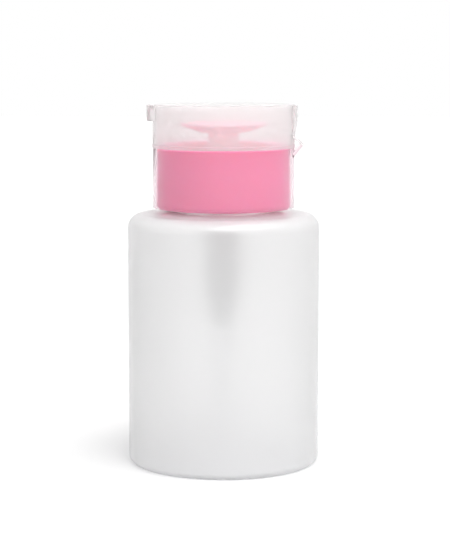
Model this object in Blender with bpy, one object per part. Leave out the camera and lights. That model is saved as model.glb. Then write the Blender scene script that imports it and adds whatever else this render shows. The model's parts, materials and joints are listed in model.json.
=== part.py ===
"""Push-down dispenser bottle with a flip-top lid, modelled piece by piece.

Units are metres and +Z is up. The origin is the centre of the plane that the bottle stands on.
The lid's hinge strap is on the +X side and its thumb tab on the -X side.
"""
import math

import bmesh
import bpy
from mathutils import Matrix, Vector

# Bottle body
BODY_RADIUS = 0.0300
BODY_WALL = 0.0011
SHOULDER_HEIGHT = 0.0788
SHOULDER_RADIUS = 0.0044
DECK_RISE = 0.0005
BASE_CORNER_RADIUS = 0.0024
STANDING_RING_WIDTH = 0.0034
PUSH_UP = 0.0026

# Bottle neck and its thread
NECK_HEIGHT = 0.0107
NECK_WALL = 0.0016
NECK_ROOT_FILLET = 0.0008
NECK_RIM_CHAMFER = 0.0003
NECK_THREAD_LOW = 0.0030
NECK_THREAD_TURNS = 1.25
THREAD_PITCH = 0.00423
THREAD_DEPTH = 0.0009
THREAD_ROOT_WIDTH = 0.0016
THREAD_CREST_WIDTH = 0.0008
THREAD_CLEARANCE = 0.0005

# Clear sleeve round the collar
SLEEVE_TOP_RADIUS = 0.02207
SLEEVE_DRAFT = 0.00009
SLEEVE_WALL = 0.0010
SLEEVE_LIFT = 0.0009
SLEEVE_HEIGHT = 0.0192
SLEEVE_EDGE_CHAMFER = 0.0002
KEY_DEPTH = 0.0007
KEY_WIDTH = 0.0030
KEY_HEIGHT = 0.0029
KEY_DROP = 0.0008

# Pink screw collar
COLLAR_FIT = 0.00025
COLLAR_WALL = 0.0015
COLLAR_LIP = 0.0003
COLLAR_INSET = 0.0006
COLLAR_LOW_RADIUS = 0.0018
COLLAR_EDGE_FILLET = 0.0004
COLLAR_DECK = 0.0012
SKIRT_SPACE = 0.0014
SKIRT_WALL = 0.0012
SKIRT_LIFT = 0.0015
COLLAR_THREAD_TURNS = 0.85
WELL_DEPTH = 0.0048
WELL_WALL = 0.0012
WELL_FLOOR = 0.0014
WELL_CLEARANCE = 0.0016
DECK_WIDTH = 0.00542

# Flip lid, its tab and its hinge pad
LID_GAP = 0.0005
LID_PROUD = 0.00013
LID_HEIGHT = 0.0134
LID_WALL = 0.0011
LID_TOP = 0.0012
LID_EDGE_FILLET = 0.0004
LID_INNER_FILLET = 0.0008
LID_BEAD = 0.00012
LID_BEAD_HEIGHT = 0.0012
TAB_REACH = 0.0018
TAB_HALF_WIDTH = 0.0080
TAB_HEIGHT = 0.0049
TAB_STEP = 0.00015
PAD_REACH = 0.00095
PAD_LEDGE = 0.0002
PAD_HEIGHT = 0.0052
PAD_TAPER = 0.0044
PAD_HALF_WIDTH = 0.0070

# Hinge strap, folded to a V beside the lid
HINGE_REACH = 0.00225
HINGE_RISE = 0.00125
STRAP_THICKNESS = 0.0009
STRAP_HALF_WIDTH = 0.0050
STRAP_UPPER_RISE = 0.00235
STRAP_LOWER_DROP = 0.0036
STRAP_FOLD_GAP = 0.00045
FILM_THICKNESS = 0.0004
FILM_CLEARANCE = 0.00015

# Pink dish and its hub
DISH_STANDOFF = 0.0037
DISH_DEPTH = 0.0033
DISH_LIP_HEIGHT = 0.0005
DISH_LIP_WIDTH = 0.0009
DISH_THICKNESS = 0.0010
HUB_RADIUS = 0.0049
HUB_LENGTH = 0.0105
HUB_CHAMFER = 0.0004
HUB_CEILING = 0.0006
OUTLET_RADIUS = 0.0006
OUTLET_CIRCLE_RADIUS = 0.0018
OUTLET_COUNT = 4

# Pump stroke, stem and piston
STROKE = 0.0055
STEM_RADIUS = 0.0026
STEM_BORE_RADIUS = 0.0013
STEM_FOOT_RADIUS = 0.0034
STEM_FOOT_HEIGHT = 0.0010
PISTON_LENGTH = 0.0060
PISTON_LIP_HEIGHT = 0.0012
PISTON_TAPER = 0.0010
PISTON_WAIST = 0.0005

# Pump housing
BARREL_BORE_RADIUS = 0.0043
BARREL_WALL = 0.0012
CUP_WALL = 0.0012
FLANGE_INSET = 0.0006
FLANGE_THICKNESS = 0.0012
BALL_CHAMBER_CLEARANCE = 0.0006
SEAT_BORE_RADIUS = 0.0013
SEAT_FLOOR = 0.0012
SOCKET_DEPTH = 0.0072
SOCKET_WALL = 0.0010
SOCKET_LEAD = 0.0006
HOUSING_TAPER = 0.0040
VENT_RADIUS = 0.0005
VENT_DROP = 0.0030

# Guide bush that holds the housing to the collar
RETAINER_WALL = 0.00135
RETAINER_FLANGE_WIDTH = 0.0022
RETAINER_FLANGE_THICKNESS = 0.0012
RETAINER_FLOOR = 0.0012
RETAINER_EDGE_FILLET = 0.0003
GUIDE_CLEARANCE = 0.00035

# Valves
INLET_BALL_RADIUS = 0.0020
OUTLET_BALL_RADIUS = 0.0017
INLET_BALL_TRAVEL = 0.0012
OUTLET_BALL_TRAVEL = 0.0010
SEAT_GAP = 0.0002
CAGE_THICKNESS = 0.0012
CAGE_WINDOW_RADIUS = 0.0007
CAGE_WINDOW_CIRCLE_RADIUS = 0.0018
CAGE_WINDOW_COUNT = 4

# Return spring
SPRING_LENGTH = 0.0174
SPRING_RADIUS = 0.0031
SPRING_WIRE = 0.0006
SPRING_TURNS = 9
SPRING_END_PITCH = 0.0011
SPRING_LEAST_GAP = 0.0004

# Dip tube and gasket
TUBE_RADIUS = 0.0025
TUBE_WALL = 0.0007
TUBE_FLOOR_GAP = 0.0030
TUBE_END_SLANT_DEGREES = 30.0
GASKET_THICKNESS = 0.0009
GASKET_INSET = 0.0002

# Clearances and helpers
CLEAR = 0.0003
BITE = 0.0005
OVERRUN = 0.0020
MERGE_DISTANCE = 0.0000001
MM = 1000.0

# Counts that set how fine the round shapes are
BODY_SEGMENTS = 56
CAP_SEGMENTS = 48
DISH_SEGMENTS = 40
PUMP_SEGMENTS = 24
TUBE_SEGMENTS = 16
THREAD_STEPS_PER_TURN = 36
THREAD_FADE_STEPS = 3
SPRING_STEPS_PER_TURN = 10
ARC_STEPS = 4
SMOOTH_ANGLE_DEGREES = 35.0

# Heights and radii that follow from the sizes above, from the bottle up to the lid
NECK_ROOT_Z = SHOULDER_HEIGHT + DECK_RISE
NECK_TOP_Z = NECK_ROOT_Z + NECK_HEIGHT
SLEEVE_BOTTOM_Z = SHOULDER_HEIGHT + SLEEVE_LIFT
SLEEVE_TOP_Z = SLEEVE_BOTTOM_Z + SLEEVE_HEIGHT
DECK_Z = SLEEVE_TOP_Z + COLLAR_LIP
LID_BOTTOM_Z = SLEEVE_TOP_Z + LID_GAP
LID_TOP_Z = LID_BOTTOM_Z + LID_HEIGHT

COLLAR_RADIUS = SLEEVE_TOP_RADIUS - SLEEVE_WALL - COLLAR_FIT
COLLAR_BOTTOM_Z = SLEEVE_BOTTOM_Z + COLLAR_INSET
COLLAR_INNER_RADIUS = COLLAR_RADIUS - COLLAR_WALL
SKIRT_OUTER_RADIUS = COLLAR_INNER_RADIUS - SKIRT_SPACE
SKIRT_INNER_RADIUS = SKIRT_OUTER_RADIUS - SKIRT_WALL
SKIRT_BOTTOM_Z = NECK_ROOT_Z + SKIRT_LIFT
NECK_RADIUS = SKIRT_INNER_RADIUS - THREAD_CLEARANCE - THREAD_DEPTH
NECK_BORE_RADIUS = NECK_RADIUS - NECK_WALL
WELL_RADIUS = COLLAR_RADIUS - DECK_WIDTH
DISH_RADIUS = WELL_RADIUS - WELL_CLEARANCE
LID_RADIUS = SLEEVE_TOP_RADIUS + LID_PROUD

# Heights of the pump, from the dish down to the dip tube
FLOOR_TOP_Z = DECK_Z - WELL_DEPTH
FLOOR_BOTTOM_Z = FLOOR_TOP_Z - WELL_FLOOR
FLANGE_TOP_Z = FLOOR_BOTTOM_Z - CLEAR
FLANGE_BOTTOM_Z = FLANGE_TOP_Z - FLANGE_THICKNESS
DISH_UNDER_Z = DECK_Z + DISH_STANDOFF
HUB_BOTTOM_Z = DISH_UNDER_Z - HUB_LENGTH
RETAINER_TOP_Z = FLOOR_TOP_Z + CLEAR + RETAINER_FLANGE_THICKNESS
RETAINER_FLOOR_Z = HUB_BOTTOM_Z - STROKE - CLEAR
RETAINER_BOTTOM_Z = RETAINER_FLOOR_Z - RETAINER_FLOOR
CUP_FLOOR_Z = RETAINER_BOTTOM_Z - CLEAR
PISTON_TOP_Z = RETAINER_BOTTOM_Z - CLEAR
PISTON_BOTTOM_Z = PISTON_TOP_Z - PISTON_LENGTH
STEM_BOTTOM_Z = PISTON_BOTTOM_Z - CLEAR - STEM_FOOT_HEIGHT
SPRING_TOP_Z = STEM_BOTTOM_Z - CLEAR
SPRING_BOTTOM_Z = SPRING_TOP_Z - SPRING_LENGTH
CAGE_TOP_Z = SPRING_BOTTOM_Z - CLEAR
CAGE_BOTTOM_Z = CAGE_TOP_Z - CAGE_THICKNESS
LEDGE_Z = CAGE_BOTTOM_Z - CLEAR
INLET_BALL_Z = CAGE_BOTTOM_Z - SEAT_GAP - INLET_BALL_TRAVEL - INLET_BALL_RADIUS
SEAT_Z = INLET_BALL_Z + SEAT_BORE_RADIUS - math.sqrt(2.0) * (INLET_BALL_RADIUS + SEAT_GAP)
SOCKET_TOP_Z = SEAT_Z - SEAT_FLOOR
SOCKET_BOTTOM_Z = SOCKET_TOP_Z - SOCKET_DEPTH

# Heights of the outlet valve in the hub
DISH_FLOOR_Z = DISH_UNDER_Z + DISH_THICKNESS
HUB_CEILING_Z = DISH_UNDER_Z - HUB_CEILING
OUTLET_BALL_Z = HUB_CEILING_Z - SEAT_GAP - OUTLET_BALL_TRAVEL - OUTLET_BALL_RADIUS
STEM_SEAT_Z = OUTLET_BALL_Z + STEM_BORE_RADIUS - math.sqrt(2.0) * (OUTLET_BALL_RADIUS + SEAT_GAP)

# Radii of the pump, from the hub outwards
GUIDE_RADIUS = HUB_RADIUS + GUIDE_CLEARANCE
RETAINER_RADIUS = GUIDE_RADIUS + RETAINER_WALL
RETAINER_FLANGE_RADIUS = RETAINER_RADIUS + RETAINER_FLANGE_WIDTH
COLLAR_HOLE_RADIUS = RETAINER_RADIUS + GUIDE_CLEARANCE
CUP_BORE_RADIUS = RETAINER_RADIUS + CLEAR
CUP_RADIUS = CUP_BORE_RADIUS + CUP_WALL
FLANGE_RADIUS = NECK_RADIUS - FLANGE_INSET
BARREL_RADIUS = BARREL_BORE_RADIUS + BARREL_WALL
PISTON_RADIUS = BARREL_BORE_RADIUS - CLEAR
STEM_HOLE_RADIUS = STEM_RADIUS + CLEAR
SOCKET_BORE_RADIUS = TUBE_RADIUS + CLEAR
SOCKET_RADIUS = SOCKET_BORE_RADIUS + SOCKET_WALL

# Fold line of the hinge strap
HINGE_AXIS = Vector((LID_RADIUS + HINGE_REACH, 0.0, LID_BOTTOM_Z + HINGE_RISE))


def linear(hex_code):
    """Turn an sRGB hex colour into the linear values that a shader takes."""
    channels = [int(hex_code[i:i + 2], 16) / 255.0 for i in (1, 3, 5)]
    return [c / 12.92 if c <= 0.04045 else ((c + 0.055) / 1.055) ** 2.4 for c in channels] + [1.0]


def finish(name, hex_code, roughness, metallic=0.0, transmission=0.0):
    """Make the Principled material of one piece."""
    material = bpy.data.materials.new(name + "_finish")
    material.use_nodes = True
    shader = material.node_tree.nodes["Principled BSDF"]
    shader.inputs["Base Color"].default_value = linear(hex_code)
    shader.inputs["Roughness"].default_value = roughness
    shader.inputs["Metallic"].default_value = metallic
    shader.inputs["Transmission Weight"].default_value = transmission
    return material


def arc(center_r, center_z, radius, start, end, steps=ARC_STEPS):
    """Points of an arc in the (radius, height) plane, between two angles in degrees from +r."""
    points = []
    for i in range(steps + 1):
        angle = math.radians(start + (end - start) * i / steps)
        points.append((center_r + radius * math.cos(angle), center_z + radius * math.sin(angle)))
    return points


def bowl(under_z, sphere_radius, from_r, to_r, steps=ARC_STEPS):
    """Points of a bowl whose lowest point is on the axis at under_z, between two radii."""
    start = math.degrees(math.asin(from_r / sphere_radius)) - 90.0
    end = math.degrees(math.asin(to_r / sphere_radius)) - 90.0
    return arc(0.0, under_z + sphere_radius, sphere_radius, start, end, steps)


def new_object(name, bm, material):
    """Store a bmesh as a smooth-shaded object."""
    bmesh.ops.remove_doubles(bm, verts=bm.verts, dist=MERGE_DISTANCE)
    bmesh.ops.recalc_face_normals(bm, faces=bm.faces)
    mesh = bpy.data.meshes.new(name)
    bm.to_mesh(mesh)
    bm.free()
    mesh.shade_smooth()
    mesh.set_sharp_from_angle(angle=math.radians(SMOOTH_ANGLE_DEGREES))
    piece = bpy.data.objects.new(name, mesh)
    bpy.context.scene.collection.objects.link(piece)
    if material:
        mesh.materials.append(material)
    return piece


def revolve(name, outline, segments, material):
    """Spin a closed outline of (radius, height) points once round the Z axis."""
    bm = bmesh.new()
    ring = [bm.verts.new((r, 0.0, z)) for r, z in outline]
    edges = []
    for first, second in zip(ring, ring[1:] + ring[:1]):
        if max(first.co.x, second.co.x) > MERGE_DISTANCE:
            edges.append(bm.edges.new((first, second)))
    bmesh.ops.spin(bm, geom=ring + edges, cent=(0.0, 0.0, 0.0), axis=(0.0, 0.0, 1.0),
                   angle=math.tau, steps=segments, use_merge=True)
    return new_object(name, bm, material)


def skin(name, rings, material=None):
    """Join rings of points one after another, and close both ends."""
    bm = bmesh.new()
    loops = [[bm.verts.new(point) for point in ring] for ring in rings]
    for low, high in zip(loops, loops[1:]):
        for i in range(len(low)):
            j = (i + 1) % len(low)
            bm.faces.new((low[i], low[j], high[j], high[i]))
    bm.faces.new(loops[0])
    bm.faces.new(loops[-1])
    return new_object(name, bm, material)


def block(name, low, high, material=None):
    """A box between two corners."""
    outline = ((low[0], low[1]), (high[0], low[1]), (high[0], high[1]), (low[0], high[1]))
    return skin(name, [[(x, y, z) for x, y in outline] for z in (low[2], high[2])], material)


def strip(name, section, half_width, material=None):
    """Sweep a section of (x, z) points across Y."""
    return skin(name, [[(x, y, z) for x, z in section] for y in (-half_width, half_width)], material)


def rod(name, radius, low, high, segments=TUBE_SEGMENTS):
    """A cylinder between two points."""
    low, high = Vector(low), Vector(high)
    turn = (high - low).to_track_quat("Z", "Y").to_matrix()
    rings = []
    for center in (low, high):
        ring = []
        for i in range(segments):
            angle = math.tau * i / segments
            ring.append(center + turn @ Vector((radius * math.cos(angle), radius * math.sin(angle), 0.0)))
        rings.append(ring)
    return skin(name, rings)


def boolean(target, tool, operation):
    """Join a tool to a piece, or cut it out, and keep the tool as a wire helper."""
    modifier = target.modifiers.new(tool.name, "BOOLEAN")
    modifier.operation = operation
    modifier.object = tool
    tool.hide_render = True
    tool.display_type = "WIRE"


def axis_empty(name, place, parent=None):
    """An empty on the axis of a joint."""
    empty = bpy.data.objects.new(name, None)
    bpy.context.scene.collection.objects.link(empty)
    empty.parent = parent
    empty.location = Vector(place) - (world_place(parent) if parent else Vector())
    return empty


def world_place(empty):
    """World place of an empty that is only moved, never turned."""
    place = empty.location.copy()
    while empty.parent:
        empty = empty.parent
        place += empty.location
    return place


def carry(empty, *pieces):
    """Hang pieces on a joint's empty without moving them: their origins go to its place."""
    for piece in pieces:
        piece.data.transform(Matrix.Translation(piece.location - world_place(empty)))
        piece.location = (0.0, 0.0, 0.0)
        piece.parent = empty


def thread_ridge(name, wall_radius, side, low_z, first_turn, turns):
    """A helical ridge on a round wall, outside it for side 1 and inside it for side -1.

    The ridge follows a right-hand helix whose height is low_z at turn 0, and both of its ends fade
    into the wall.
    """
    steps = round(turns * THREAD_STEPS_PER_TURN)
    rings = []
    for k in range(steps + 1):
        turn = first_turn + turns * k / steps
        angle = math.tau * turn
        height = low_z + THREAD_PITCH * turn
        fade = min(1.0, k / THREAD_FADE_STEPS, (steps - k) / THREAD_FADE_STEPS)
        root = wall_radius - side * BITE
        crest = wall_radius + side * (fade * THREAD_DEPTH - (1.0 - fade) * BITE / 2.0)
        section = (
            (root, height - THREAD_ROOT_WIDTH / 2.0),
            (crest, height - THREAD_CREST_WIDTH / 2.0),
            (crest, height + THREAD_CREST_WIDTH / 2.0),
            (root, height + THREAD_ROOT_WIDTH / 2.0),
        )
        rings.append([(r * math.cos(angle), r * math.sin(angle), z) for r, z in section])
    return skin(name, rings)


def make_ball(name, radius, height):
    """A steel valve ball on the pump's axis."""
    bm = bmesh.new()
    bmesh.ops.create_uvsphere(bm, u_segments=TUBE_SEGMENTS, v_segments=TUBE_SEGMENTS // 2, radius=radius)
    ball = new_object(name, bm, finish(name, "#c6c9cc", 0.15, 1.0))
    ball.location = (0.0, 0.0, height)
    return ball


def make_bottle():
    """Blow-moulded bottle: pushed-up base, round shoulder and threaded neck."""
    ring_radius = BODY_RADIUS - BASE_CORNER_RADIUS
    ring_inner = ring_radius - STANDING_RING_WIDTH
    dome_radius = (ring_inner ** 2 + PUSH_UP ** 2) / (2.0 * PUSH_UP)
    dome_angle = math.degrees(math.asin(ring_inner / dome_radius))
    dome_z = PUSH_UP - dome_radius
    shoulder_z = SHOULDER_HEIGHT - SHOULDER_RADIUS
    outline = (
        arc(0.0, dome_z, dome_radius, 90.0, 90.0 - dome_angle)
        + arc(ring_radius, BASE_CORNER_RADIUS, BASE_CORNER_RADIUS, -90.0, 0.0)
        + arc(BODY_RADIUS - SHOULDER_RADIUS, shoulder_z, SHOULDER_RADIUS, 0.0, 90.0, ARC_STEPS + 2)
        + arc(NECK_RADIUS + NECK_ROOT_FILLET, NECK_ROOT_Z + NECK_ROOT_FILLET, NECK_ROOT_FILLET,
              -90.0, -180.0, 2)
        + [
            (NECK_RADIUS, NECK_TOP_Z - NECK_RIM_CHAMFER),
            (NECK_RADIUS - NECK_RIM_CHAMFER, NECK_TOP_Z),
            (NECK_BORE_RADIUS, NECK_TOP_Z),
            (NECK_BORE_RADIUS, NECK_ROOT_Z - BODY_WALL),
        ]
        + arc(BODY_RADIUS - SHOULDER_RADIUS, shoulder_z, SHOULDER_RADIUS - BODY_WALL, 90.0, 0.0)
        + arc(ring_radius, BASE_CORNER_RADIUS, BASE_CORNER_RADIUS - BODY_WALL, 0.0, -90.0, 2)
        + arc(0.0, dome_z, dome_radius + BODY_WALL, 90.0 - dome_angle, 90.0, 3)
    )
    bottle = revolve("bottle", outline, BODY_SEGMENTS, finish("bottle", "#ececec", 0.45, 0.0, 0.8))
    ridge = thread_ridge("neck_thread", NECK_RADIUS, 1.0, NECK_ROOT_Z + NECK_THREAD_LOW, 0.0,
                         NECK_THREAD_TURNS)
    boolean(bottle, ridge, "UNION")
    return bottle


def make_gasket():
    """Flat ring between the neck's rim and the housing's flange."""
    low = NECK_TOP_Z + (FLANGE_BOTTOM_Z - NECK_TOP_Z - GASKET_THICKNESS) / 2.0
    high = low + GASKET_THICKNESS
    inner = NECK_BORE_RADIUS + GASKET_INSET
    outer = NECK_RADIUS - GASKET_INSET
    outline = [(inner, low), (outer, low), (outer, high), (inner, high)]
    return revolve("neck_gasket", outline, CAP_SEGMENTS, finish("neck_gasket", "#f4f4f2", 0.7))


def make_housing():
    """Pump cylinder: flange and cup on top, barrel, inlet seat, and a socket for the dip tube."""
    chamber = INLET_BALL_RADIUS + BALL_CHAMBER_CLEARANCE
    taper_z = SOCKET_TOP_Z
    outline = [
        (CUP_BORE_RADIUS, FLANGE_TOP_Z),
        (CUP_BORE_RADIUS, CUP_FLOOR_Z),
        (BARREL_BORE_RADIUS, CUP_FLOOR_Z),
        (BARREL_BORE_RADIUS, LEDGE_Z),
        (chamber, LEDGE_Z),
        (chamber, SEAT_Z + chamber - SEAT_BORE_RADIUS),
        (SEAT_BORE_RADIUS, SEAT_Z),
        (SEAT_BORE_RADIUS, SOCKET_TOP_Z),
        (SOCKET_BORE_RADIUS, SOCKET_TOP_Z),
        (SOCKET_BORE_RADIUS, SOCKET_BOTTOM_Z + SOCKET_LEAD),
        (SOCKET_BORE_RADIUS + SOCKET_LEAD, SOCKET_BOTTOM_Z),
        (SOCKET_RADIUS, SOCKET_BOTTOM_Z),
        (SOCKET_RADIUS, taper_z - HOUSING_TAPER / 2.0),
        (BARREL_RADIUS, taper_z + HOUSING_TAPER / 2.0),
        (BARREL_RADIUS, CUP_FLOOR_Z - CUP_WALL),
        (CUP_RADIUS, CUP_FLOOR_Z - CUP_WALL),
        (CUP_RADIUS, FLANGE_BOTTOM_Z),
        (FLANGE_RADIUS, FLANGE_BOTTOM_Z),
        (FLANGE_RADIUS, FLANGE_TOP_Z),
    ]
    natural = finish("pump_housing", "#d9dadb", 0.4, 0.0, 0.3)
    housing = revolve("pump_housing", outline, PUMP_SEGMENTS, natural)
    for number, side in enumerate((-1.0, 1.0)):
        height = FLANGE_BOTTOM_Z - VENT_DROP
        vent = rod(f"vent_cutter_{number}", VENT_RADIUS, (0.0, side * (CUP_BORE_RADIUS - BITE), height),
                   (0.0, side * (CUP_RADIUS + OVERRUN), height))
        boolean(housing, vent, "DIFFERENCE")
    return housing


def make_retainer():
    """Guide bush: its flange holds the collar, and its floor stops the hub and the piston."""
    flange_under = FLOOR_TOP_Z + CLEAR
    fillet = RETAINER_EDGE_FILLET
    outline = [
        (STEM_HOLE_RADIUS, RETAINER_BOTTOM_Z),
        (RETAINER_RADIUS, RETAINER_BOTTOM_Z),
        (RETAINER_RADIUS, flange_under),
        (RETAINER_FLANGE_RADIUS, flange_under),
        *arc(RETAINER_FLANGE_RADIUS - fillet, RETAINER_TOP_Z - fillet, fillet, 0.0, 90.0, 2),
        (GUIDE_RADIUS, RETAINER_TOP_Z),
        (GUIDE_RADIUS, RETAINER_FLOOR_Z),
        (STEM_HOLE_RADIUS, RETAINER_FLOOR_Z),
    ]
    return revolve("housing_retainer", outline, PUMP_SEGMENTS, finish("housing_retainer", "#f0f0ee", 0.4))


def make_cage():
    """Disc over the inlet ball, which the spring stands on, with windows for the liquid."""
    radius = BARREL_BORE_RADIUS - CLEAR
    outline = [(0.0, CAGE_BOTTOM_Z), (radius, CAGE_BOTTOM_Z), (radius, CAGE_TOP_Z), (0.0, CAGE_TOP_Z)]
    cage = revolve("valve_cage", outline, PUMP_SEGMENTS, finish("valve_cage", "#f0f0ee", 0.4))
    for number in range(CAGE_WINDOW_COUNT):
        angle = math.tau * number / CAGE_WINDOW_COUNT
        x = CAGE_WINDOW_CIRCLE_RADIUS * math.cos(angle)
        y = CAGE_WINDOW_CIRCLE_RADIUS * math.sin(angle)
        window = rod(f"cage_window_cutter_{number}", CAGE_WINDOW_RADIUS, (x, y, CAGE_BOTTOM_Z - OVERRUN),
                     (x, y, CAGE_TOP_Z + OVERRUN), TUBE_SEGMENTS // 2)
        boolean(cage, window, "DIFFERENCE")
    return cage


def make_dip_tube():
    """Straight tube from the socket to near the floor, its lower end cut on a slant."""
    low = PUSH_UP + BODY_WALL + TUBE_FLOOR_GAP
    high = SOCKET_TOP_Z - CLEAR
    inner = TUBE_RADIUS - TUBE_WALL
    outline = [(inner, low), (TUBE_RADIUS, low), (TUBE_RADIUS, high), (inner, high)]
    tube = revolve("dip_tube", outline, TUBE_SEGMENTS, finish("dip_tube", "#f2f2f0", 0.35, 0.0, 0.6))
    slope = math.tan(math.radians(TUBE_END_SLANT_DEGREES))
    for vertex in tube.data.vertices:
        if vertex.co.z < (low + high) / 2.0:
            vertex.co.z += slope * (vertex.co.x + TUBE_RADIUS)
    return tube


def spring_points():
    """Points along the spring's wire: close end turns, and open turns between them."""
    radius = SPRING_RADIUS
    climb = SPRING_LENGTH - SPRING_WIRE
    open_pitch = (climb - 2.0 * SPRING_END_PITCH) / (SPRING_TURNS - 2)
    height = SPRING_BOTTOM_Z + SPRING_WIRE / 2.0
    points = []
    for k in range(SPRING_TURNS * SPRING_STEPS_PER_TURN + 1):
        turn = k / SPRING_STEPS_PER_TURN
        low_turn = min(turn, 1.0)
        high_turn = max(turn - (SPRING_TURNS - 1), 0.0)
        middle = turn - low_turn - high_turn
        z = height + SPRING_END_PITCH * (low_turn + high_turn) + open_pitch * middle
        points.append(Vector((radius * math.cos(math.tau * turn), radius * math.sin(math.tau * turn), z)))
    return points


def least_gap(points, wire, turn_steps):
    """Smallest distance between two turns of a wound wire, from surface to surface."""
    gap = math.inf
    for i, first in enumerate(points):
        for second in points[i + turn_steps // 2:]:
            gap = min(gap, (first - second).length - wire)
    return gap


def make_spring():
    """Return spring: one unbroken wire from the valve cage to the stem's foot."""
    points = spring_points()
    gap = least_gap(points, SPRING_WIRE, SPRING_STEPS_PER_TURN)
    print(f"return_spring: least gap to itself {gap * MM:.2f} mm, more than {SPRING_LEAST_GAP * MM} mm")
    curve = bpy.data.curves.new("return_spring", "CURVE")
    curve.dimensions = "3D"
    curve.bevel_depth = SPRING_WIRE / 2.0
    curve.bevel_resolution = 1
    curve.use_fill_caps = True
    spline = curve.splines.new("POLY")
    spline.points.add(len(points) - 1)
    for target, point in zip(spline.points, points):
        target.co = (*point, 1.0)
    curve.materials.append(finish("return_spring", "#b9bcc0", 0.3, 1.0))
    spring = bpy.data.objects.new("return_spring", curve)
    bpy.context.scene.collection.objects.link(spring)
    return spring


def make_stem():
    """Hollow piston rod with a foot under the piston and a ball seat at its top."""
    seat_top = STEM_SEAT_Z + (STEM_RADIUS - STEM_BORE_RADIUS) / 2.0
    outline = [
        (STEM_BORE_RADIUS, STEM_BOTTOM_Z),
        (STEM_FOOT_RADIUS, STEM_BOTTOM_Z),
        (STEM_FOOT_RADIUS, STEM_BOTTOM_Z + STEM_FOOT_HEIGHT),
        (STEM_RADIUS, STEM_BOTTOM_Z + STEM_FOOT_HEIGHT),
        (STEM_RADIUS, seat_top),
        ((STEM_RADIUS + STEM_BORE_RADIUS) / 2.0, seat_top),
        (STEM_BORE_RADIUS, STEM_SEAT_Z),
    ]
    return revolve("stem", outline, PUMP_SEGMENTS, finish("stem", "#f0f0ee", 0.4))


def make_piston():
    """Soft seal with a lip at each end."""
    waist = PISTON_RADIUS - PISTON_WAIST
    neck_low = PISTON_BOTTOM_Z + PISTON_LIP_HEIGHT
    neck_high = PISTON_TOP_Z - PISTON_LIP_HEIGHT
    outline = [
        (STEM_HOLE_RADIUS, PISTON_BOTTOM_Z),
        (PISTON_RADIUS, PISTON_BOTTOM_Z),
        (PISTON_RADIUS, neck_low),
        (waist, neck_low + PISTON_TAPER),
        (waist, neck_high - PISTON_TAPER),
        (PISTON_RADIUS, neck_high),
        (PISTON_RADIUS, PISTON_TOP_Z),
        (STEM_HOLE_RADIUS, PISTON_TOP_Z),
    ]
    return revolve("piston", outline, PUMP_SEGMENTS, finish("piston", "#e8e8e6", 0.5))


def make_dish():
    """Pink dish on its hub, with outlet holes in its floor and a chamber for the outlet ball."""
    sphere_radius = (DISH_RADIUS ** 2 + DISH_DEPTH ** 2) / (2.0 * DISH_DEPTH)
    rim_z = DISH_UNDER_Z + DISH_DEPTH + DISH_LIP_HEIGHT
    inner_radius = sphere_radius - DISH_THICKNESS
    outline = (
        [
            (0.0, HUB_CEILING_Z),
            (STEM_HOLE_RADIUS, HUB_CEILING_Z),
            (STEM_HOLE_RADIUS, HUB_BOTTOM_Z),
            (HUB_RADIUS - HUB_CHAMFER, HUB_BOTTOM_Z),
            (HUB_RADIUS, HUB_BOTTOM_Z + HUB_CHAMFER),
        ]
        + bowl(DISH_UNDER_Z, sphere_radius, HUB_RADIUS, DISH_RADIUS)
        + [(DISH_RADIUS, rim_z), (DISH_RADIUS - DISH_LIP_WIDTH, rim_z)]
        + bowl(DISH_FLOOR_Z, inner_radius, 0.0, DISH_RADIUS - DISH_LIP_WIDTH)[::-1]
    )
    dish = revolve("pump_dish", outline, DISH_SEGMENTS, finish("pump_dish", "#f2a0b8", 0.35))
    for number in range(OUTLET_COUNT):
        angle = math.tau * (number + 0.5) / OUTLET_COUNT
        x = OUTLET_CIRCLE_RADIUS * math.cos(angle)
        y = OUTLET_CIRCLE_RADIUS * math.sin(angle)
        hole = rod(f"outlet_cutter_{number}", OUTLET_RADIUS, (x, y, HUB_CEILING_Z - OVERRUN),
                   (x, y, DISH_FLOOR_Z + OVERRUN), TUBE_SEGMENTS // 2)
        boolean(dish, hole, "DIFFERENCE")
    return dish


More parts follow.
